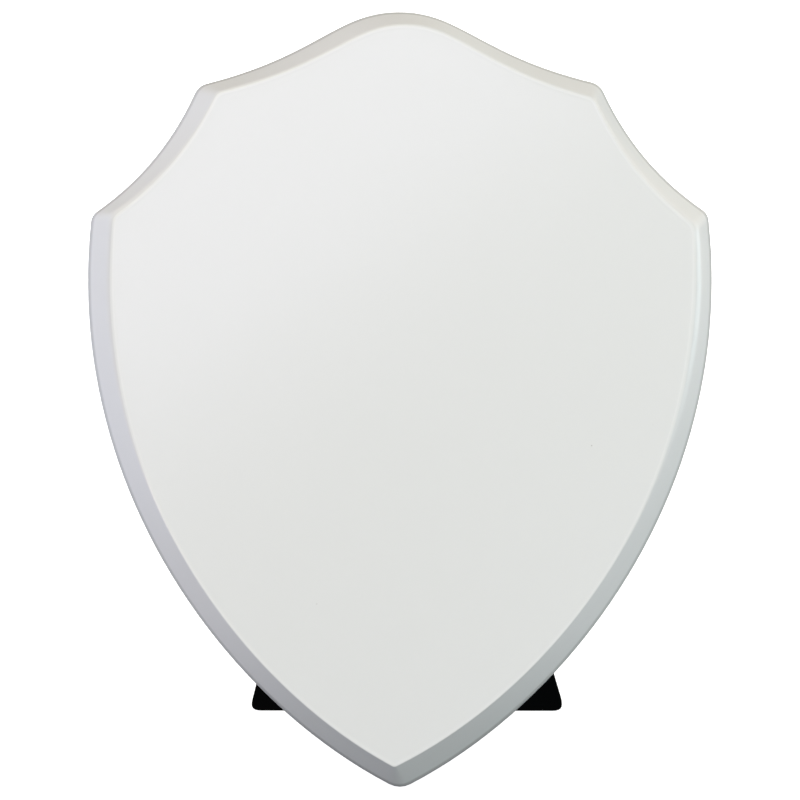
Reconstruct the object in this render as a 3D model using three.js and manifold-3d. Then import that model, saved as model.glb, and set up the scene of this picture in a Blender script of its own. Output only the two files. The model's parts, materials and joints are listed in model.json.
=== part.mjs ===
// A white award shield that stands leaning back on its tip and on a hinged strut.
// Millimetres, +Z up. The front faces -Y, and +X is to the right as seen from the front.

import * as THREE from 'three';
import { mergeVertices } from 'three/addons/utils/BufferGeometryUtils.js';
import Module from 'manifold-3d';

// How it stands
const LEAN_DEG = 14;
const STRUT_OPENING_DEG = 31;

// Board: height from the sharp corner of the tip to the top of the hump
const BOARD_HEIGHT = 203.5;
const BOARD_THICKNESS = 9;

// Hump and ears: how far out from the middle and how far below the top each ear is
const EAR_SPAN = 52.6;
const EAR_DROP = 19.1;
const EAR_SLOPE_DEG = 13.1;
const HUMP_ROUNDNESS = 16.6;
const HUMP_SWEEP = 32.4;

// Shoulders, and the hollow scoops between them and the ears
const SHOULDER_SPAN = 80.7;
const SHOULDER_DROP = 53;
const SCOOP_DEPTH = 3.3;

// Sides, from the shoulders to the tip
const SIDE_FLARE_DEG = 6.6;
const SIDE_FULLNESS = 74;
const TIP_HALF_ANGLE_DEG = 64.3;
const TIP_FULLNESS = 46.7;

// Rounding: how far from each corner its curve starts, on the board's edge and on the face's
const EAR_ROUNDING = 2.4;
const SHOULDER_ROUNDING = 1.8;
const TIP_ROUNDING = 3.1;
const FACE_EAR_ROUNDING = 1.4;
const FACE_SHOULDER_ROUNDING = 1.8;
const FACE_TIP_ROUNDING = 0.7;

// Bevel round the front face. The face sits slightly high, to the right and turned on the
// board, so the bevel is narrowest at the top right and widest at the lower right.
const BEVEL_WIDTH = 4.7;
const BEVEL_DEPTH = 4;
const FACE_TURN_DEG = 1;
const FACE_RISE = 0.95;
const FACE_SHIFT = 0.4;
const BEVEL_EDGE_ROUNDING = 0.9;
const BACK_EDGE_ROUNDING = 1;

// The lacquer rounds the face's edge over: a little at the tip, most at the middle of the sides
const ARRIS_ROUNDING_TIP = 0.25;
const ARRIS_ROUNDING_SIDES = 1.2;
const ARRIS_ROUNDING_TOP = 0.5;
const ARRIS_SHARP_HEIGHT = 40;
const ARRIS_SOFT_HEIGHT = 125;

// Hinge on the back: the height of its pin above the tip, along the board
const HINGE_HEIGHT = 105;
const PLATE_WIDTH = 38;
const PLATE_RISE = 20;
const PLATE_THICKNESS = 2;
const PLATE_CORNER_RADIUS = 3;
const PIN_RADIUS = 1.1;
const PIN_OVERHANG = 0.8;
const PIN_CHAMFER = 0.3;
const KNUCKLE_WALL = 1.9;
const STRUT_KNUCKLE_WIDTH = 14;

// Screws that hold the plate
const SCREW_HEAD_RADIUS = 3;
const SCREW_HEAD_HEIGHT = 1.8;
const SCREW_RIM_HEIGHT = 0.6;
const SCREW_DOME_FULLNESS = 0.8;
const SCREW_SHANK_RADIUS = 1.4;
const SCREW_FRONT_COVER = 3.2;
const CROSS_SLOT_WIDTH = 0.8;
const CROSS_SLOT_DEPTH = 0.9;
const CROSS_SLOT_LENGTH = 3.2;

// Strut: a tapering leaf with a raised border on its outer side, and a heel that stops it
const LEAF_TOP_WIDTH = 38;
const LEAF_BOTTOM_WIDTH = 87.6;
const LEAF_THICKNESS = 3;
const LEAF_CORNER_RADIUS = 3.2;
const LEAF_BORDER = 4;
const LEAF_RECESS_DEPTH = 1.3;
const RIB_WIDTH = 1.8;
const CROSS_RIBS = 2;
const HEEL_HEIGHT = 10;
const HEEL_THICKNESS = 2.8;

// Clearances
const REST_GAP = 0.3;
const TURNING_GAP = 0.6;

// Fineness of the facets
const HUMP_STEPS = 26;
const SCOOP_STEPS = 14;
const SIDE_STEPS = 44;
const CORNER_STEPS = 4;
const EDGE_STEPS = 3;
const ARRIS_STEPS = 4;
const ROUND_STEPS = 32;
const CORNER_ARC_STEPS = 6;
const MEETING_SLACK = 1e-6;

const lean = THREE.MathUtils.degToRad(LEAN_DEG);
const opening = THREE.MathUtils.degToRad(STRUT_OPENING_DEG);

// The strut's barrel and the plate's barrels are alike, and clear the plate by the turning gap
const boreRadius = PIN_RADIUS + REST_GAP;
const barrelRadius = boreRadius + KNUCKLE_WALL;
const plateBackY = BOARD_THICKNESS + REST_GAP;
const plateOuterY = plateBackY + PLATE_THICKNESS;
const pinY = plateOuterY + TURNING_GAP + barrelRadius;

// Each screw sits in the middle of the bare land beside the strut's heel
const screwX = (STRUT_KNUCKLE_WIDTH + PLATE_WIDTH) / 4;
const screwZ = HINGE_HEIGHT + (barrelRadius + PLATE_RISE) / 2;
const screwHeadY = plateOuterY + REST_GAP;

const wasm = await Module();
wasm.setup();

function toSolid(geometry) {
  const bare = geometry.clone();
  bare.deleteAttribute('normal');
  bare.deleteAttribute('uv');
  const merged = mergeVertices(bare);
  const mesh = new wasm.Mesh({
    numProp: 3,
    vertProperties: new Float32Array(merged.attributes.position.array),
    triVerts: new Uint32Array(merged.index.array),
  });
  return new wasm.Manifold(mesh);
}

function toGeometry(solid) {
  const mesh = solid.getMesh();
  const geometry = new THREE.BufferGeometry();
  geometry.setAttribute('position', new THREE.BufferAttribute(mesh.vertProperties, 3));
  geometry.setIndex(new THREE.BufferAttribute(mesh.triVerts, 1));
  geometry.computeVertexNormals();
  return geometry;
}

function pointAt(start, distance, degreesFromRight) {
  const angle = THREE.MathUtils.degToRad(degreesFromRight);
  const step = new THREE.Vector2(Math.cos(angle), Math.sin(angle));
  return start.clone().addScaledVector(step, distance);
}

// Curves of the right half of the outline, from the top to the tip
function rightHalf() {
  const top = new THREE.Vector2(0, BOARD_HEIGHT);
  const ear = new THREE.Vector2(EAR_SPAN, BOARD_HEIGHT - EAR_DROP);
  const shoulder = new THREE.Vector2(SHOULDER_SPAN, BOARD_HEIGHT - SHOULDER_DROP);
  const tip = new THREE.Vector2(0, 0);

  const hump = new THREE.CubicBezierCurve(
    top,
    pointAt(top, HUMP_ROUNDNESS, 0),
    pointAt(ear, HUMP_SWEEP, 180 - EAR_SLOPE_DEG),
    ear,
  );
  const chord = shoulder.clone().sub(ear);
  const inward = new THREE.Vector2(chord.y, -chord.x).normalize();
  const middle = ear.clone().lerp(shoulder, 0.5);
  const scoop = new THREE.QuadraticBezierCurve(
    ear,
    middle.addScaledVector(inward, 2 * SCOOP_DEPTH),
    shoulder,
  );
  const side = new THREE.CubicBezierCurve(
    shoulder,
    pointAt(shoulder, SIDE_FULLNESS, SIDE_FLARE_DEG - 90),
    pointAt(tip, TIP_FULLNESS, 90 - TIP_HALF_ANGLE_DEG),
    tip,
  );
  return [
    { curve: hump, steps: HUMP_STEPS },
    { curve: scoop, steps: SCOOP_STEPS },
    { curve: side, steps: SIDE_STEPS },
  ];
}

// The curve's points, each moved to the right of its direction of travel
function insetPoints({ curve, steps }, insetOf) {
  const points = [];
  for (let i = 0; i <= steps; i += 1) {
    const point = curve.getPoint(i / steps);
    const tangent = curve.getTangent(i / steps);
    const inward = new THREE.Vector2(tangent.y, -tangent.x);
    points.push(point.addScaledVector(inward, insetOf(point)));
  }
  return points;
}

// Where segment a-b meets segment c-d, or null
function crossing(a, b, c, d) {
  const along = b.clone().sub(a);
  const across = d.clone().sub(c);
  const offset = c.clone().sub(a);
  const area = along.cross(across);
  const s = offset.cross(across) / area;
  const t = offset.cross(along) / area;
  const within = (share) => share > -MEETING_SLACK && share < 1 + MEETING_SLACK;
  return within(s) && within(t) ? a.clone().addScaledVector(along, s) : null;
}

// Cuts two lines of points off at their shared corner, the last one's end and the next one's start
function trimAtCorner(before, after) {
  for (let i = before.length - 1; i > 0; i -= 1) {
    for (let j = 0; j + 1 < after.length; j += 1) {
      const corner = crossing(before[i - 1], before[i], after[j], after[j + 1]);
      if (corner) {
        return [
          [...before.slice(0, i), corner],
          [corner, ...after.slice(j + 1)],
        ];
      }
    }
  }
  const corner = before.at(-1).clone().lerp(after[0], 0.5);
  return [[...before.slice(0, -1), corner], [corner, ...after.slice(1)]];
}

function mirrored(points) {
  return points.map((point) => new THREE.Vector2(-point.x, point.y)).reverse();
}

// The board's outline at a distance inside its edge, clockwise from the top as seen from the front.
// The distance is a function of the point. Every outline has the same number of points, so that
// outlines can be joined one to one.
function outlineAt(insetOf) {
  const right = rightHalf().map((part) => insetPoints(part, insetOf));
  const lines = [...right, ...right.map(mirrored).reverse()];
  const steps = lines.map((line) => line.length - 1);
  for (let i = 0; i + 1 < lines.length; i += 1) {
    [lines[i], lines[i + 1]] = trimAtCorner(lines[i], lines[i + 1]);
  }
  const ear = [EAR_ROUNDING, FACE_EAR_ROUNDING];
  const shoulder = [SHOULDER_ROUNDING, FACE_SHOULDER_ROUNDING];
  const tip = [TIP_ROUNDING, FACE_TIP_ROUNDING];
  const roundings = [ear, shoulder, tip, shoulder, ear].map(([onEdge, onFace], i) => {
    const towardsFace = insetOf(lines[i].at(-1)) / BEVEL_WIDTH;
    return THREE.MathUtils.lerp(onEdge, onFace, Math.min(towardsFace, 1));
  });

  const outline = [];
  lines.forEach((line, i) => {
    const path = new THREE.Path(line);
    const length = path.getLength();
    const start = (roundings[i - 1] ?? 0) / length;
    const end = 1 - (roundings[i] ?? 0) / length;
    const stretch = [];
    for (let k = 0; k <= steps[i]; k += 1) {
      stretch.push(path.getPointAt(THREE.MathUtils.lerp(start, end, k / steps[i])));
    }
    if (i > 0) {
      const corner = new THREE.QuadraticBezierCurve(outline.at(-1), line[0], stretch[0]);
      outline.push(...corner.getPoints(CORNER_STEPS).slice(1, -1));
    }
    outline.push(...stretch);
  });
  outline.pop();
  return outline;
}

// The face's outline, turned and moved to its place on the board
function placedFace(outline) {
  const middle = new THREE.Vector2(0, BOARD_HEIGHT / 2);
  const turn = THREE.MathUtils.degToRad(-FACE_TURN_DEG);
  const shift = new THREE.Vector2(FACE_SHIFT, FACE_RISE);
  return outline.map((point) => point.clone().rotateAround(middle, turn).add(shift));
}

function ringAt(outline, depthOf) {
  return outline.map((point) => new THREE.Vector3(point.x, depthOf(point), point.y));
}

// Half the width of the rounded strip along the face's edge, at a height on the board
function arrisRounding(height) {
  const { lerp, smoothstep } = THREE.MathUtils;
  const aboveTip = smoothstep(height, ARRIS_SHARP_HEIGHT, ARRIS_SOFT_HEIGHT);
  const belowTop = smoothstep(height, ARRIS_SOFT_HEIGHT, BOARD_HEIGHT - EAR_DROP);
  const lower = lerp(ARRIS_ROUNDING_TIP, ARRIS_ROUNDING_SIDES, aboveTip);
  return lerp(lower, ARRIS_ROUNDING_TOP, belowTop);
}

// Joins rings of equally many points, from the front to the back, and closes both ends
function loft(rings) {
  const count = rings[0].length;
  const index = [];
  for (let ring = 0; ring + 1 < rings.length; ring += 1) {
    for (let i = 0; i < count; i += 1) {
      const here = ring * count + i;
      const next = ring * count + (i + 1) % count;
      index.push(here, next, next + count, here, next + count, here + count);
    }
  }
  const lastRing = (rings.length - 1) * count;
  const flat = (ring) => ring.map((point) => new THREE.Vector2(point.x, point.z)).reverse();
  for (const face of THREE.ShapeUtils.triangulateShape(flat(rings[0]), [])) {
    index.push(...face.map((i) => count - 1 - i));
  }
  for (const face of THREE.ShapeUtils.triangulateShape(flat(rings.at(-1)), [])) {
    index.push(...face.map((i) => lastRing + count - 1 - i).reverse());
  }
  const geometry = new THREE.BufferGeometry();
  const numbers = rings.flat().flatMap((point) => [point.x, point.y, point.z]);
  geometry.setAttribute('position', new THREE.Float32BufferAttribute(numbers, 3));
  geometry.setIndex(index);
  return geometry;
}

function alongX(radius, length) {
  return new THREE.CylinderGeometry(radius, radius, length, ROUND_STEPS).rotateZ(Math.PI / 2);
}

function alongY(radius, length) {
  return new THREE.CylinderGeometry(radius, radius, length, ROUND_STEPS);
}

function block(x, y, z) {
  const size = new THREE.Vector3(x[1] - x[0], y[1] - y[0], z[1] - z[0]);
  return new THREE.BoxGeometry(size.x, size.y, size.z).translate(
    (x[0] + x[1]) / 2,
    (y[0] + y[1]) / 2,
    (z[0] + z[1]) / 2,
  );
}

// A shape drawn in X and Z, given its thickness along Y
function slab(shape, yNear, yFar) {
  const settings = {
    depth: yFar - yNear,
    bevelEnabled: false,
    curveSegments: CORNER_ARC_STEPS,
  };
  return new THREE.ExtrudeGeometry(shape, settings).rotateX(Math.PI / 2).translate(0, yFar, 0);
}

function makeBoard() {
  const rings = [];
  for (let i = 0; i <= ARRIS_STEPS; i += 1) {
    const towardsEdge = i / ARRIS_STEPS;
    const insetOf = (point) => BEVEL_WIDTH + (1 - 2 * towardsEdge) * arrisRounding(point.y);
    const fallOf = (point) => (
      (BEVEL_DEPTH / BEVEL_WIDTH) * arrisRounding(point.y) * towardsEdge ** 2
    );
    rings.push(ringAt(placedFace(outlineAt(insetOf)), fallOf));
  }
  const slope = Math.atan2(BEVEL_DEPTH, BEVEL_WIDTH);
  const turn = Math.PI / 2 - slope;
  const reach = Math.tan(turn / 2) * BEVEL_EDGE_ROUNDING;
  for (let i = 0; i <= EDGE_STEPS; i += 1) {
    const angle = slope + turn * (i / EDGE_STEPS);
    const inset = BEVEL_EDGE_ROUNDING * (1 - Math.sin(angle));
    const y = BEVEL_DEPTH + reach - BEVEL_EDGE_ROUNDING * Math.cos(angle);
    rings.push(ringAt(outlineAt(() => inset), () => y));
  }
  for (let i = 0; i <= EDGE_STEPS; i += 1) {
    const angle = (Math.PI / 2) * (i / EDGE_STEPS);
    const inset = BACK_EDGE_ROUNDING * (1 - Math.cos(angle));
    const y = BOARD_THICKNESS - BACK_EDGE_ROUNDING * (1 - Math.sin(angle));
    rings.push(ringAt(outlineAt(() => inset), () => y));
  }
  let board = toSolid(loft(rings));
  const pilotRadius = SCREW_SHANK_RADIUS + REST_GAP;
  const pilotDepth = BOARD_THICKNESS - SCREW_FRONT_COVER;
  for (const x of [-screwX, screwX]) {
    const pilot = alongY(pilotRadius, 2 * pilotDepth).translate(x, BOARD_THICKNESS, screwZ);
    board = board.subtract(toSolid(pilot));
  }
  return toGeometry(board);
}

function makeHingePlate() {
  const half = PLATE_WIDTH / 2;
  const bottom = HINGE_HEIGHT - barrelRadius;
  const top = HINGE_HEIGHT + PLATE_RISE;
  const r = PLATE_CORNER_RADIUS;
  const shape = new THREE.Shape();
  shape.moveTo(-half, bottom);
  shape.lineTo(half, bottom);
  shape.lineTo(half, top - r);
  shape.absarc(half - r, top - r, r, 0, Math.PI / 2);
  shape.lineTo(-half + r, top);
  shape.absarc(-half + r, top - r, r, Math.PI / 2, Math.PI);
  shape.closePath();
  let plate = toSolid(slab(shape, plateBackY, plateOuterY));

  const inner = STRUT_KNUCKLE_WIDTH / 2 + REST_GAP;
  const width = half - inner;
  for (const side of [-1, 1]) {
    const middle = side * (inner + width / 2);
    const barrel = alongX(barrelRadius, width).translate(middle, pinY, HINGE_HEIGHT);
    const web = block(
      [middle - width / 2, middle + width / 2],
      [plateOuterY - PLATE_THICKNESS / 2, pinY],
      [bottom, HINGE_HEIGHT + barrelRadius],
    );
    plate = plate.add(toSolid(barrel)).add(toSolid(web));
  }
  const bore = alongX(boreRadius, 2 * PLATE_WIDTH).translate(0, pinY, HINGE_HEIGHT);
  plate = plate.subtract(toSolid(bore));
  for (const x of [-screwX, screwX]) {
    const hole = alongY(SCREW_SHANK_RADIUS + REST_GAP, 4 * PLATE_THICKNESS);
    plate = plate.subtract(toSolid(hole.translate(x, plateOuterY, screwZ)));
  }
  return toGeometry(plate);
}

function makePin() {
  const half = PLATE_WIDTH / 2 + PIN_OVERHANG;
  const profile = [
    new THREE.Vector2(0, -half),
    new THREE.Vector2(PIN_RADIUS - PIN_CHAMFER, -half),
    new THREE.Vector2(PIN_RADIUS, -half + PIN_CHAMFER),
    new THREE.Vector2(PIN_RADIUS, half - PIN_CHAMFER),
    new THREE.Vector2(PIN_RADIUS - PIN_CHAMFER, half),
    new THREE.Vector2(0, half),
  ];
  const pin = new THREE.LatheGeometry(profile, ROUND_STEPS).rotateZ(Math.PI / 2);
  return toGeometry(toSolid(pin));
}

// A screw whose axis is Y: the domed head outside the plate, the shank towards the front
function makeScrew() {
  const shankEnd = SCREW_FRONT_COVER + REST_GAP - screwHeadY;
  const dome = new THREE.CubicBezierCurve(
    new THREE.Vector2(SCREW_HEAD_RADIUS, SCREW_RIM_HEIGHT),
    new THREE.Vector2(SCREW_HEAD_RADIUS, SCREW_HEAD_HEIGHT * SCREW_DOME_FULLNESS),
    new THREE.Vector2(SCREW_HEAD_RADIUS / 2, SCREW_HEAD_HEIGHT),
    new THREE.Vector2(0, SCREW_HEAD_HEIGHT),
  );
  const profile = [
    new THREE.Vector2(0, shankEnd),
    new THREE.Vector2(SCREW_SHANK_RADIUS, shankEnd + SCREW_SHANK_RADIUS),
    new THREE.Vector2(SCREW_SHANK_RADIUS, 0),
    new THREE.Vector2(SCREW_HEAD_RADIUS, 0),
    ...dome.getPoints(CORNER_ARC_STEPS),
  ];
  let screw = toSolid(new THREE.LatheGeometry(profile, ROUND_STEPS));
  const slotFloor = SCREW_HEAD_HEIGHT - CROSS_SLOT_DEPTH;
  const across = [-CROSS_SLOT_WIDTH / 2, CROSS_SLOT_WIDTH / 2];
  const along = [-CROSS_SLOT_LENGTH / 2, CROSS_SLOT_LENGTH / 2];
  const up = [slotFloor, 2 * SCREW_HEAD_HEIGHT];
  screw = screw.subtract(toSolid(block(across, up, along)));
  screw = screw.subtract(toSolid(block(along, up, across)));
  return toGeometry(screw);
}

// The tapering outline of the leaf, its border taken off all round
function leafShape(bottom, top, border) {
  const halfAt = (z) => THREE.MathUtils.lerp(
    LEAF_TOP_WIDTH / 2,
    LEAF_BOTTOM_WIDTH / 2,
    (top - z) / (top - bottom),
  ) - border;
  const low = bottom + border;
  const high = top - border;
  const r = LEAF_CORNER_RADIUS;
  const shape = new THREE.Shape();
  shape.moveTo(-halfAt(low) + r, low);
  shape.lineTo(halfAt(low) - r, low);
  shape.quadraticCurveTo(halfAt(low), low, halfAt(low + r), low + r);
  shape.lineTo(halfAt(high - r), high - r);
  shape.quadraticCurveTo(halfAt(high), high, halfAt(high) - r, high);
  shape.lineTo(-halfAt(high) + r, high);
  shape.quadraticCurveTo(-halfAt(high), high, -halfAt(high - r), high - r);
  shape.lineTo(-halfAt(low + r), low + r);
  shape.quadraticCurveTo(-halfAt(low), low, -halfAt(low) + r, low);
  return shape;
}

// The strut about its pin, with its leaf hanging straight down. Its underside is cut
// level with the ground for the open position.
function makeStrut(pinHeight) {
  const fromVertical = opening - lean;
  const bottom = -pinHeight / Math.cos(fromVertical);
  const top = -(barrelRadius + TURNING_GAP);
  const near = -LEAF_THICKNESS / 2;
  const far = LEAF_THICKNESS / 2;
  const cutLevel = new THREE.Matrix4().makeShear(0, 0, 0, -Math.tan(fromVertical), 0, 0);

  const leaf = slab(leafShape(bottom, top, 0), near, far).applyMatrix4(cutLevel);
  const recessFloor = far - LEAF_RECESS_DEPTH;
  const deep = [recessFloor - LEAF_THICKNESS, far + 2 * LEAF_THICKNESS];
  const recessShape = leafShape(bottom, top, LEAF_BORDER);
  let recess = toSolid(slab(recessShape, recessFloor, far + LEAF_THICKNESS));
  const halfRib = RIB_WIDTH / 2;
  recess = recess.subtract(toSolid(block([-halfRib, halfRib], deep, [bottom, top])));
  for (let i = 1; i <= CROSS_RIBS; i += 1) {
    const z = THREE.MathUtils.lerp(bottom, top, i / (CROSS_RIBS + 1));
    const rib = block([-LEAF_BOTTOM_WIDTH, LEAF_BOTTOM_WIDTH], deep, [z - halfRib, z + halfRib]);
    recess = recess.subtract(toSolid(rib));
  }
  const knuckle = [-STRUT_KNUCKLE_WIDTH / 2, STRUT_KNUCKLE_WIDTH / 2];
  const neck = block(knuckle, [near, far], [top - LEAF_BORDER / 2, -boreRadius]);
  const barrel = alongX(barrelRadius, STRUT_KNUCKLE_WIDTH);
  const heelNear = plateOuterY + REST_GAP - pinY;
  const heel = block(knuckle, [heelNear, heelNear + HEEL_THICKNESS], [0, HEEL_HEIGHT])
    .rotateX(-opening);
  const bore = alongX(boreRadius, 2 * STRUT_KNUCKLE_WIDTH);

  const strut = toSolid(leaf)
    .subtract(recess)
    .add(toSolid(neck))
    .add(toSolid(barrel))
    .add(toSolid(heel))
    .subtract(toSolid(bore));
  return toGeometry(strut);
}

const materials = {
  lacquer: new THREE.MeshStandardMaterial({ color: 0xf1f2f0, roughness: 0.12, metalness: 0 }),
  plastic: new THREE.MeshStandardMaterial({ color: 0x0c0c0d, roughness: 0.5, metalness: 0 }),
  steel: new THREE.MeshStandardMaterial({ color: 0xb4b6b8, roughness: 0.35, metalness: 1 }),
};

function addMesh(parent, name, geometry, material) {
  const mesh = new THREE.Mesh(geometry, material.clone());
  mesh.name = name;
  parent.add(mesh);
  return mesh;
}

// Lean the board back, and raise it until its lowest edge is on the ground
const boardGeometry = makeBoard();
const leaned = boardGeometry.clone().rotateX(-lean);
leaned.computeBoundingBox();
const tipRise = -leaned.boundingBox.min.z;

const standing = new THREE.Group();
standing.rotation.x = -lean;
standing.position.z = tipRise;
addMesh(standing, 'shield', boardGeometry, materials.lacquer);
addMesh(standing, 'hinge_plate', makeHingePlate(), materials.plastic);

const hinge = new THREE.Group();
hinge.position.set(0, pinY, HINGE_HEIGHT);
standing.add(hinge);
addMesh(hinge, 'hinge_pin', makePin(), materials.steel);

const pinHeight = tipRise + HINGE_HEIGHT * Math.cos(lean) - pinY * Math.sin(lean);
const strut = addMesh(hinge, 'strut', makeStrut(pinHeight), materials.plastic);
strut.rotation.x = opening;

for (const [name, x] of [['screw_left', -screwX], ['screw_right', screwX]]) {
  const screw = addMesh(standing, name, makeScrew(), materials.steel);
  screw.position.set(x, screwHeadY, screwZ);
}

// The origin is on the ground, below the middle of the whole shield
const model = new THREE.Group();
model.name = 'award_shield';
model.add(standing);
model.updateMatrixWorld(true);
const middle = new THREE.Box3().setFromObject(model, true).getCenter(new THREE.Vector3());
model.position.set(-middle.x, -middle.y, 0);
model.updateMatrixWorld(true);

export default model;
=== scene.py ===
"""An award shield of white lacquered board on a black easel strut: finishes, light and camera.

Metres, +Z up. The front faces -Y, and +X is to the right as seen from the front.
"""

import json
from math import radians

import bmesh
import bpy
from mathutils import Matrix, Vector


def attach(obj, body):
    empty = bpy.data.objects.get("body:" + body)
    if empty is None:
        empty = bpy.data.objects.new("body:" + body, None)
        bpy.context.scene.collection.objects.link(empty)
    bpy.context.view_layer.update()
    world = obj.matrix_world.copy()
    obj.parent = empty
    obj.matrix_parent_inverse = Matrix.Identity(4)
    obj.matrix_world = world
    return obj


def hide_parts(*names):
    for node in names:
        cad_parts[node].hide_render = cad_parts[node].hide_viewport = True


MM = 0.001

# Board: the height of the face's mount above the sharp tip, and how far the bevel's outer edge and
# the back lie behind the face
FACE_MOUNT_HEIGHT = 110 * MM
BEVEL_DEPTH = 4 * MM
BOARD_THICKNESS = 9 * MM

# Bead: the lacquer pulls up along the edge of the face. The crest, and the foot on its other side,
# each take a share of its width. What lies less deep than FLAT_WITHIN is part of the face
BEAD_WIDTH = 1.0 * MM
BEAD_HEIGHT = 0.03 * MM
BEAD_CREST = 0.1
BEAD_STEPS = 8
BEAD_CORNER_SPACING = 0.1 * MM
FLAT_WITHIN = 0.005 * MM

# White lacquer: where it changes, from the start to the end of each change, in depths behind the
# face and, near the tip, in heights above it
# The crest's fade bounds a painted highlight, a lighter line along the bead's crest
CREST_HIGHLIGHT_FADE = (0.1 * BEAD_HEIGHT, 0.4 * BEAD_HEIGHT)
CUT_START = (0.02 * MM, 0.14 * MM)
# The rim's start and fade bound painted shade where the bevel rolls over into the side wall
RIM_SHADE_START = (BEVEL_DEPTH - 0.8 * MM, BEVEL_DEPTH - 0.35 * MM)
RIM_SHADE_FADE = (BEVEL_DEPTH + 0.6 * MM, BEVEL_DEPTH + 1.2 * MM)
BACK_START = (BOARD_THICKNESS - 0.5 * MM, BOARD_THICKNESS - 0.1 * MM)
# The tip's fade bounds painted shade that darkens the cut edge and the rim towards the tip
TIP_SHADE_FADE = (8 * MM, 48 * MM)

# White lacquer: its colours, among them a painted highlight on the bead's crest and painted shade
# on the rim and towards the tip, and how strongly the rim's painted shade is laid on
FACE_WHITES = (0.862, 0.866, 0.858), (0.876, 0.878, 0.874)
# Painted highlight along the bead's crest
CREST_HIGHLIGHT_WHITE = (0.90, 0.90, 0.895)
CUT_WHITE = (0.72, 0.72, 0.72)
# Painted shade on the cut edge at the tip
CUT_SHADE_AT_TIP = (0.59, 0.60, 0.595)
# Painted shade along the rim, darker still at the tip
RIM_SHADE_GREY = (0.36, 0.36, 0.36)
RIM_SHADE_AT_TIP = (0.22, 0.22, 0.22)
RIM_SHADE_STRENGTH = 0.5
BACK_WHITE = (0.80, 0.80, 0.785)

# White lacquer: the sizes of its patterns, their reliefs as strength and depth, its roughness on
# the face, and what the patterns, the cut edge and the back add to it
CLOUD_SIZE = 60 * MM
SMEAR_SIZE = 14 * MM
SWELL_SIZE = 11 * MM
PEEL_SIZE = 1.6 * MM
FIBRE_SIZE = 0.5 * MM
SWELL_RELIEF = (0.12, 0.05 * MM)
PEEL_RELIEF = (0.10, 0.012 * MM)
FIBRE_RELIEF = (0.16, 0.02 * MM)
FACE_ROUGHNESS = 0.15
SMEAR_ROUGHNESS = 0.03
CUT_ROUGHNESS = 0.13
FIBRE_ROUGHNESS = 0.08
BACK_ROUGHNESS = 0.12

# Dust under the lacquer. Flecks are scattered, and a few of them show; each fades out over a share
# of their spacing. Specks are given by their place across from the middle, height above the tip and
# radius, and each leaves the flecks and the specks before it fainter
DUST_COLOUR = (0.42, 0.40, 0.36)
DUST_STRENGTH = 0.55
DUST_RELIEF = 1.4
FLECK_SPACING = 9 * MM
FLECK_CHANCE = (0.86, 0.9)
FLECK_FADE = (0.012, 0.024)
SPECK_CORE = 0.55
FAINTER = 0.35
DUST_SPECKS = (
    (66.1 * MM, 95.4 * MM, 0.26 * MM),
    (-21.5 * MM, 48.8 * MM, 0.28 * MM),
    (50.2 * MM, 90.0 * MM, 0.22 * MM),
)

# Black plastic: its colours, the scuffs along it, and its grain
PLASTIC_BLACKS = (0.0012, 0.0012, 0.0014), (0.0028, 0.0028, 0.003)
PLASTIC_CLOUD_SIZE = 22 * MM
PLASTIC_ROUGHNESS = 0.46
PLASTIC_CLOUD_ROUGHNESS = 0.1
SCUFF_GREY = (0.014, 0.014, 0.015)
SCUFF_SIZE = 1 * MM
SCUFF_STRETCH = (1.0, 0.12, 0.12)
SCUFF_FADE = (0.62, 0.8)
SCUFF_STRENGTH = 0.4
GRAIN_SIZE = 0.42 * MM
GRAIN_RELIEF = (0.35, 0.05 * MM)
FINE_GRAIN_SIZE = 0.22 * MM
FINE_GRAIN_RELIEF = (0.2, 0.02 * MM)
FINE_GRAIN_ROUGHNESS = 0.08

# Steel: its colours, the bloom of the plating, and the drawing lines
STEEL_GREYS = (0.52, 0.53, 0.54), (0.64, 0.63, 0.60)
STEEL_ROUGHNESS = 0.22
BLOOM_SIZE = 2.5 * MM
BLOOM_ROUGHNESS = 0.06
LINE_SIZE = 0.12 * MM
LINE_STRETCH = (0.06, 1.0, 1.0)
LINE_RELIEF = (0.3, 0.01 * MM)
LINE_ROUGHNESS = 0.16

# Surfaces of the solids: how close the corners are that are joined, and how flat the angle is
# between faces that are made one
JOINED_WITHIN = 0.001 * MM
FLAT_ANGLE = radians(0.05)

# Moulded and turned parts: how sharp an edge is before it is softened, by how much and in how
# many steps, and the shortest edges that the plate and the screws keep
SHARP_EDGE = radians(35)
PLASTIC_EDGE = 0.28 * MM
PLASTIC_EDGE_STEPS = 3
STEEL_EDGE = 0.08 * MM
STEEL_EDGE_STEPS = 2
PLATE_SHORTEST = 0.05 * MM
SCREW_SHORTEST = 0.1 * MM

# Camera: square on to the face in height, slightly from the right, and not quite level. The sensor
# and the lens are in millimetres, as Blender takes them
CAMERA_DISTANCE = 1.0
CAMERA_TURN = radians(1.8)
CAMERA_ROLL = radians(0.52)
CAMERA_TARGET_ACROSS = 0.2 * MM
CAMERA_TARGET_HEIGHT = 101.95 * MM
PICTURE_SPAN = 209.33 * MM
SENSOR_WIDTH = 36

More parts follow.
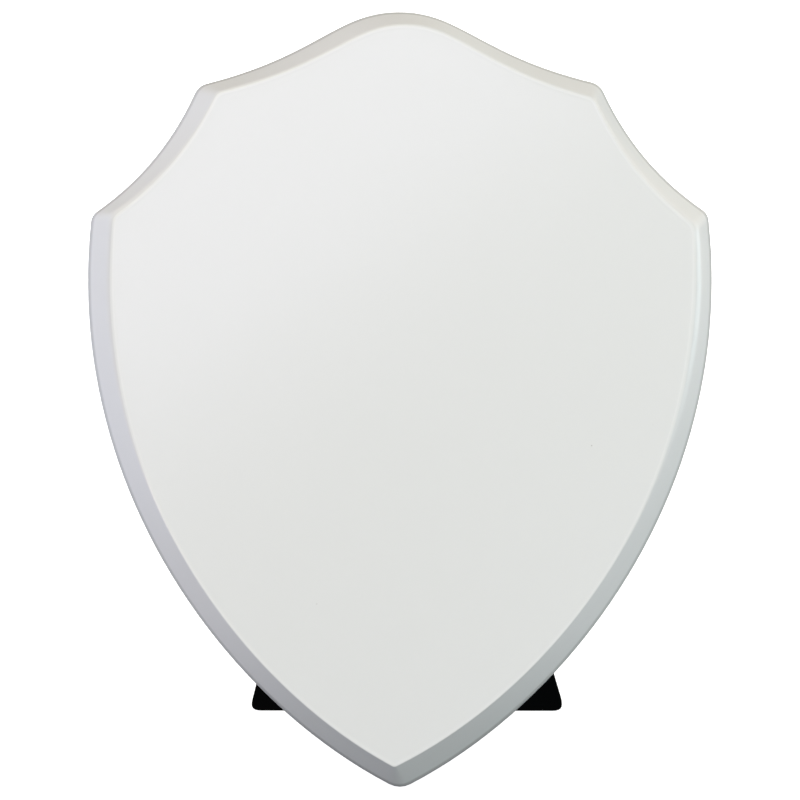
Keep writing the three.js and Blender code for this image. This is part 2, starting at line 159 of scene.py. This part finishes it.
# Studio: name, degrees to the right of the front, degrees up, distance, roll, width, height, watts
# and colour of each softbox
SOFTBOXES = (
    ("high_left", -45, 50, 1.5, 0, 1.5, 1.5, 13.3, (1.0, 0.92, 0.70)),
    ("front_card", -6.6, 21.9, 1.32, 38.3, 0.5, 0.26, 1.24, (0.81, 0.77, 1.0)),
    ("left_fill", -80, 8, 1.2, 0, 1.2, 1.3, 9.6, (0.64, 0.74, 1.0)),
    ("low_left", -40, -1, 1.2, 0, 0.7, 0.14, 2.3, (1.0, 0.90, 0.85)),
    ("low_right", 60, 10, 1.2, 0, 0.9, 0.5, 7.1, (0.62, 0.89, 1.0)),
    ("right_fill", 75, 25, 1.2, 0, 1.2, 1.2, 9.9, (1.0, 0.84, 0.71)),
    ("rear", 170, 22, 1.4, 0, 1.0, 0.8, 10, (1.0, 1.0, 1.0)),
)
WORLD_COLOUR = (1.0, 1.0, 1.0)
WORLD_STRENGTH = 0.05

# Floor: a pale sheet that curves up into a wall all round
FLOOR_REACH = 3.0
FLOOR_SIDES = 64
FLOOR_CURVE = 0.9
FLOOR_CURVE_STEPS = 12
FLOOR_WALL = 3.0
FLOOR_GREYS = (0.56, 0.56, 0.56), (0.6, 0.6, 0.6)
FLOOR_CLOUD_SIZE = 0.8
FLOOR_ROUGHNESS = 0.8
FLOOR_GLOW = 1.0
GLOW_COLOUR = (1, 1, 1)

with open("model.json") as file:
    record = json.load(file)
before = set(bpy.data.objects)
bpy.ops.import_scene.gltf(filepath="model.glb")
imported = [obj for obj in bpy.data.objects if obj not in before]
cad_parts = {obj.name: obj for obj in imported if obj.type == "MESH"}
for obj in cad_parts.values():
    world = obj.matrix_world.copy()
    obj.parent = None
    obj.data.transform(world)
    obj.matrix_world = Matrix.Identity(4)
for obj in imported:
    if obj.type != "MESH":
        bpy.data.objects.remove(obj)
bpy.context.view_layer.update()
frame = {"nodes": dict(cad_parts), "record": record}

mounts = {mount["name"]: mount for mount in frame["record"]["mounts"]}
face_point = Vector(mounts["front_face"]["pos_m"])
face_normal = Vector(mounts["front_face"]["axis"]).normalized()
board_right = Vector((1, 0, 0))
board_up = face_normal.cross(board_right)


def on_board(across, height, depth=0.0):
    """The place of a point of the board, from its middle line, its tip and its face."""
    up = height - FACE_MOUNT_HEIGHT
    return face_point + across * board_right + up * board_up - depth * face_normal


def depth_of(point):
    """How far a point of the board lies behind its face."""
    return (face_point - point).dot(face_normal)


# Shader graphs


class Wire:
    """An output socket. Sums on it add Math nodes to its graph."""

    def __init__(self, graph, socket):
        self.graph = graph
        self.socket = socket

    def __add__(self, other):
        return self.graph.maths("ADD", self, other)

    def __radd__(self, other):
        return self.graph.maths("ADD", other, self)

    def __sub__(self, other):
        return self.graph.maths("SUBTRACT", self, other)

    def __rsub__(self, other):
        return self.graph.maths("SUBTRACT", other, self)

    def __mul__(self, other):
        return self.graph.maths("MULTIPLY", self, other)

    def __rmul__(self, other):
        return self.graph.maths("MULTIPLY", other, self)


class Finish:
    """A material, made by adding nodes to its graph."""

    def __init__(self, name, **constants):
        self.material = bpy.data.materials.new(name)
        self.material.use_nodes = True
        self.tree = self.material.node_tree
        self.shader = self.tree.nodes["Principled BSDF"]
        for socket, value in constants.items():
            self.feed(self.shader.inputs[socket.replace("_", " ")], value)
        self.place = self.node("TexCoord", output="Object")

    def feed(self, socket, value):
        if isinstance(value, Wire):
            self.tree.links.new(value.socket, socket)
        elif socket.type == "RGBA" and len(value) == 3:
            socket.default_value = (*value, 1)
        else:
            socket.default_value = value

    def node(self, kind, settings=None, inputs=None, output=0):
        """Adds a node: its settings first, then the values or links of its sockets."""
        made = self.tree.nodes.new("ShaderNode" + kind)
        for setting, value in (settings or {}).items():
            setattr(made, setting, value)
        for socket, value in (inputs or {}).items():
            self.feed(made.inputs[socket], value)
        return Wire(self, made.outputs[output])

    def maths(self, operation, first, second):
        return self.node("Math", {"operation": operation}, {0: first, 1: second})

    def mix(self, factor, first, second):
        """The first colour where the factor is 0, the second where it is 1."""
        return self.node("Mix", {"data_type": "RGBA"}, {0: factor, 6: first, 7: second}, output=2)

    def step(self, value, start, end):
        """0 up to start, 1 from end on, and smooth between them."""
        settings = {"interpolation_type": "SMOOTHSTEP"}
        return self.node("MapRange", settings, {0: value, 1: start, 2: end})

    def along(self, direction, origin):
        """How far each point is from the origin in a direction."""
        return self.measure("DOT_PRODUCT", direction) - origin.dot(direction)

    def distance(self, point):
        return self.measure("DISTANCE", point)

    def measure(self, operation, vector):
        inputs = {0: self.place, 1: vector}
        return self.node("VectorMath", {"operation": operation}, inputs, output="Value")

    def stretched(self, scale):
        return self.node("Mapping", None, {"Vector": self.place, "Scale": scale})

    def noise(self, size, detail=2.0, roughness=0.5, place=None):
        """Noise whose lumps are about this size."""
        inputs = {
            "Vector": place or self.place,
            "Scale": 1 / size,
            "Detail": detail,
            "Roughness": roughness,
        }
        return self.node("TexNoise", None, inputs)

    def cells(self, size):
        """How far the nearest of points about this size apart is, and its random colour."""
        distance = self.node("TexVoronoi", None, {"Vector": self.place, "Scale": 1 / size})
        return distance, Wire(self, distance.socket.node.outputs["Color"])

    def red_of(self, colour):
        return self.node("SeparateColor", None, {0: colour})

    def bump(self, height, strength, depth, under=None):
        """A relief of this depth, on top of another one if there is one."""
        inputs = {"Height": height, "Strength": strength, "Distance": depth}
        if under:
            inputs["Normal"] = under
        return self.node("Bump", None, inputs)

    def varies(self, **values):
        for socket, value in values.items():
            self.feed(self.shader.inputs[socket.replace("_", " ")], value)
        return self.material


def white_lacquer():
    """Gloss white lacquer over fibreboard: glassy on the face, duller on its edge and back."""
    finish = Finish("white_lacquer", IOR=1.5)
    depth = finish.along(-face_normal, face_point)
    height = finish.along(board_up, on_board(0, 0))
    # Painted shade: the cut edge and the rim are coloured darker towards the tip
    tip_shade = 1 - finish.step(height, *TIP_SHADE_FADE)
    # Painted highlight: the bead's crest is coloured lighter
    crest_highlight = 1 - finish.step(depth, *CREST_HIGHLIGHT_FADE)
    edge = finish.step(depth, *CUT_START)
    # Painted shade: where the bevel rolls over into the side wall, the rim is coloured darker
    rim = finish.step(depth, *RIM_SHADE_START) * (1 - finish.step(depth, *RIM_SHADE_FADE))
    back = finish.step(depth, *BACK_START)

    cloud = finish.noise(CLOUD_SIZE, detail=3.0)
    colour = finish.mix(cloud, *FACE_WHITES)
    colour = finish.mix(crest_highlight, colour, CREST_HIGHLIGHT_WHITE)
    cut = finish.mix(tip_shade, CUT_WHITE, CUT_SHADE_AT_TIP)
    colour = finish.mix(edge, colour, cut)
    # Painted shade on the rim, darker still towards the tip
    rim_shade = finish.mix(tip_shade, RIM_SHADE_GREY, RIM_SHADE_AT_TIP)
    colour = finish.mix(rim * RIM_SHADE_STRENGTH, colour, rim_shade)
    colour = finish.mix(back, colour, BACK_WHITE)

    away, chance = finish.cells(FLECK_SPACING)
    shown = finish.step(finish.red_of(chance), *FLECK_CHANCE)
    dust = shown * (1 - finish.step(away, *FLECK_FADE))
    for across, up, radius in DUST_SPECKS:
        away = finish.distance(on_board(across, up))
        speck = 1 - finish.step(away, SPECK_CORE * radius, radius)
        dust = finish.maths("MAXIMUM", dust * FAINTER, speck)
    colour = finish.mix(dust * DUST_STRENGTH, colour, DUST_COLOUR)

    fibres = finish.noise(FIBRE_SIZE, detail=4.0, roughness=0.6)
    smear = finish.noise(SMEAR_SIZE, detail=3.0)
    roughness = FACE_ROUGHNESS + smear * SMEAR_ROUGHNESS + edge * CUT_ROUGHNESS
    roughness = roughness + edge * fibres * FIBRE_ROUGHNESS + back * BACK_ROUGHNESS

    swell = finish.noise(SWELL_SIZE, detail=1.0)
    peel = finish.noise(PEEL_SIZE, detail=1.0)
    normal = finish.bump(swell, *SWELL_RELIEF)
    normal = finish.bump(peel, *PEEL_RELIEF, under=normal)
    normal = finish.bump(fibres * edge + dust * DUST_RELIEF, *FIBRE_RELIEF, under=normal)
    return finish.varies(Base_Color=colour, Roughness=roughness, Normal=normal)


def black_plastic():
    """Black moulded plastic with a fine spark-eroded grain."""
    finish = Finish("black_plastic", IOR=1.45, Specular_IOR_Level=0.1)
    cloud = finish.noise(PLASTIC_CLOUD_SIZE, detail=3.0)
    colour = finish.mix(cloud, *PLASTIC_BLACKS)
    streaks = finish.stretched(SCUFF_STRETCH)
    scuff = finish.noise(SCUFF_SIZE, detail=5.0, roughness=0.7, place=streaks)
    colour = finish.mix(finish.step(scuff, *SCUFF_FADE) * SCUFF_STRENGTH, colour, SCUFF_GREY)
    grain, _ = finish.cells(GRAIN_SIZE)
    fine = finish.noise(FINE_GRAIN_SIZE, detail=3.0, roughness=0.6)
    roughness = PLASTIC_ROUGHNESS + cloud * PLASTIC_CLOUD_ROUGHNESS + fine * FINE_GRAIN_ROUGHNESS
    normal = finish.bump(grain, *GRAIN_RELIEF)
    normal = finish.bump(fine, *FINE_GRAIN_RELIEF, under=normal)
    return finish.varies(Base_Color=colour, Roughness=roughness, Normal=normal)


def bright_steel():
    """Zinc-plated steel with drawing lines along it and a faint warm bloom."""
    finish = Finish("steel", IOR=2.5)
    bloom = finish.noise(BLOOM_SIZE, detail=3.0)
    colour = finish.mix(bloom, *STEEL_GREYS)
    streaks = finish.stretched(LINE_STRETCH)
    lines = finish.noise(LINE_SIZE, detail=3.0, roughness=0.6, place=streaks)
    roughness = STEEL_ROUGHNESS + lines * LINE_ROUGHNESS + bloom * BLOOM_ROUGHNESS
    normal = finish.bump(lines, *LINE_RELIEF)
    return finish.varies(Base_Color=colour, Roughness=roughness, Metallic=1.0, Normal=normal)


def pale_floor():
    """Pale matt sheet with a faint cloud in its grey."""
    finish = Finish("pale_floor", Emission_Strength=FLOOR_GLOW)
    colour = finish.mix(finish.noise(FLOOR_CLOUD_SIZE), *FLOOR_GREYS)
    return finish.varies(Base_Color=colour, Roughness=FLOOR_ROUGHNESS, Emission_Color=GLOW_COLOUR)


# Pieces


def surface_of(node, shortest=0.0):
    """The surface of a CAD node with its corners joined and its flat triangles dissolved.

    Edges under the shortest length are closed up, because a bevel is no wider than they allow.
    """
    surface = bmesh.new()
    surface.from_mesh(frame["nodes"][node].data)
    bmesh.ops.remove_doubles(surface, verts=surface.verts, dist=JOINED_WITHIN)
    if shortest:
        bmesh.ops.dissolve_degenerate(surface, dist=shortest, edges=surface.edges)
    bmesh.ops.dissolve_limit(
        surface,
        angle_limit=FLAT_ANGLE,
        verts=surface.verts,
        edges=surface.edges,
    )
    return surface


def sharp_edges(surface):
    return [
        edge for edge in surface.edges
        if len(edge.link_faces) == 2 and edge.calc_face_angle() > SHARP_EDGE
    ]


def soften(surface, width, segments):
    bmesh.ops.bevel(
        surface,
        geom=sharp_edges(surface),
        offset=width,
        offset_type="OFFSET",
        affect="EDGES",
        segments=segments,
        profile=0.5,
        material=-1,
        clamp_overlap=True,
    )


def piece(surface, node, body, material):
    """A finished piece that stands for a CAD node."""
    mesh = bpy.data.meshes.new(node + "_piece")
    surface.to_mesh(mesh)
    surface.free()
    mesh.shade_smooth()
    mesh.materials.append(material)
    made = bpy.data.objects.new(node + "_piece", mesh)
    bpy.context.scene.collection.objects.link(made)
    flatten = made.modifiers.new("flat faces stay flat", "WEIGHTED_NORMAL")
    flatten.mode = "FACE_AREA"
    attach(made, body)
    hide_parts(node)


def bead_height(inward):
    """The bead's height at a share of its width, from its crest at the edge to the flat face."""
    fall = min(max((inward - BEAD_CREST) / (1 - 2 * BEAD_CREST), 0), 1)
    return BEAD_HEIGHT * (1 - fall * fall * (3 - 2 * fall))


def lacquered_board(material):
    surface = surface_of("shield")
    flat = [
        face for face in surface.faces
        if all(depth_of(vert.co) < FLAT_WITHIN for vert in face.verts)
    ]
    bmesh.ops.dissolve_faces(surface, faces=flat)
    front = max(surface.faces, key=lambda face: face.calc_area() * face.normal.dot(face_normal))
    for step in range(BEAD_STEPS):
        fall = bead_height(step / BEAD_STEPS) - bead_height((step + 1) / BEAD_STEPS)
        bmesh.ops.inset_region(
            surface,
            faces=[front],
            thickness=BEAD_WIDTH / BEAD_STEPS,
            depth=-fall,
            use_even_offset=True,
        )
        bmesh.ops.remove_doubles(surface, verts=front.verts, dist=BEAD_CORNER_SPACING)
    piece(surface, "shield", "shield", material)


def moulded_part(node, body, material, shortest=0.0):
    surface = surface_of(node, shortest)
    soften(surface, PLASTIC_EDGE, PLASTIC_EDGE_STEPS)
    piece(surface, node, body, material)


def steel_part(node, material, shortest=0.0):
    surface = surface_of(node, shortest)
    soften(surface, STEEL_EDGE, STEEL_EDGE_STEPS)
    piece(surface, node, "shield", material)


# Studio


def floor_sweep(material):
    surface = bmesh.new()
    bmesh.ops.create_circle(surface, cap_ends=True, segments=FLOOR_SIDES, radius=FLOOR_REACH)
    rim = surface.edges[:]
    wall = bmesh.ops.extrude_edge_only(surface, edges=rim)["geom"]
    corners = [part for part in wall if isinstance(part, bmesh.types.BMVert)]
    bmesh.ops.translate(surface, verts=corners, vec=(0, 0, FLOOR_WALL))
    bmesh.ops.bevel(
        surface,
        geom=rim,
        offset=FLOOR_CURVE,
        offset_type="OFFSET",
        affect="EDGES",
        segments=FLOOR_CURVE_STEPS,
        profile=0.5,
        material=-1,
    )
    mesh = bpy.data.meshes.new("floor_sweep")
    surface.to_mesh(mesh)
    surface.free()
    mesh.shade_smooth()
    mesh.materials.append(material)
    floor = bpy.data.objects.new("floor_sweep", mesh)
    bpy.context.scene.collection.objects.link(floor)
    floor.visible_diffuse = False
    floor.visible_glossy = False
    floor.visible_shadow = False


def direction(turn, elevation):
    """The way to a point that lies this far right of the front and this far up, in degrees."""
    front = Vector((0, -1, 0))
    raised = Matrix.Rotation(-radians(elevation), 3, "X") @ front
    return Matrix.Rotation(radians(turn), 3, "Z") @ raised


def softbox(name, turn, elevation, distance, roll, width, height, watts, colour):
    light = bpy.data.lights.new(name, "AREA")
    light.shape = "RECTANGLE"
    light.size = width
    light.size_y = height
    light.energy = watts
    light.color = colour
    lamp = bpy.data.objects.new(name, light)
    way = direction(turn, elevation)
    lamp.location = on_board(0, CAMERA_TARGET_HEIGHT) + distance * way
    aim = way.to_track_quat("Z", "Y").to_matrix() @ Matrix.Rotation(radians(roll), 3, "Z")
    lamp.rotation_euler = aim.to_euler()
    bpy.context.scene.collection.objects.link(lamp)


def studio():
    world = bpy.data.worlds.new("studio")
    world.use_nodes = True
    background = world.node_tree.nodes["Background"]
    background.inputs["Color"].default_value = (*WORLD_COLOUR, 1)
    background.inputs["Strength"].default_value = WORLD_STRENGTH
    bpy.context.scene.world = world
    for box in SOFTBOXES:
        softbox(*box)
    floor_sweep(pale_floor())
    bpy.context.scene.view_settings.view_transform = "Standard"


def camera():
    lens = bpy.data.cameras.new("camera")
    lens.sensor_width = SENSOR_WIDTH
    lens.lens = SENSOR_WIDTH * CAMERA_DISTANCE / PICTURE_SPAN
    eye = bpy.data.objects.new("camera", lens)
    way = Matrix.Rotation(CAMERA_TURN, 3, "Z") @ face_normal
    target = on_board(CAMERA_TARGET_ACROSS, CAMERA_TARGET_HEIGHT, BEVEL_DEPTH)
    eye.location = target + CAMERA_DISTANCE * way
    aim = way.to_track_quat("Z", "Y").to_matrix() @ Matrix.Rotation(-CAMERA_ROLL, 3, "Z")
    eye.rotation_euler = aim.to_euler()
    bpy.context.scene.collection.objects.link(eye)
    bpy.context.scene.camera = eye


plastic = black_plastic()
steel = bright_steel()
lacquered_board(white_lacquer())
moulded_part("hinge_plate", "shield", plastic, PLATE_SHORTEST)
moulded_part("strut", "strut", plastic)
steel_part("hinge_pin", steel)
steel_part("screw_left", steel, SCREW_SHORTEST)
steel_part("screw_right", steel, SCREW_SHORTEST)
studio()
camera()
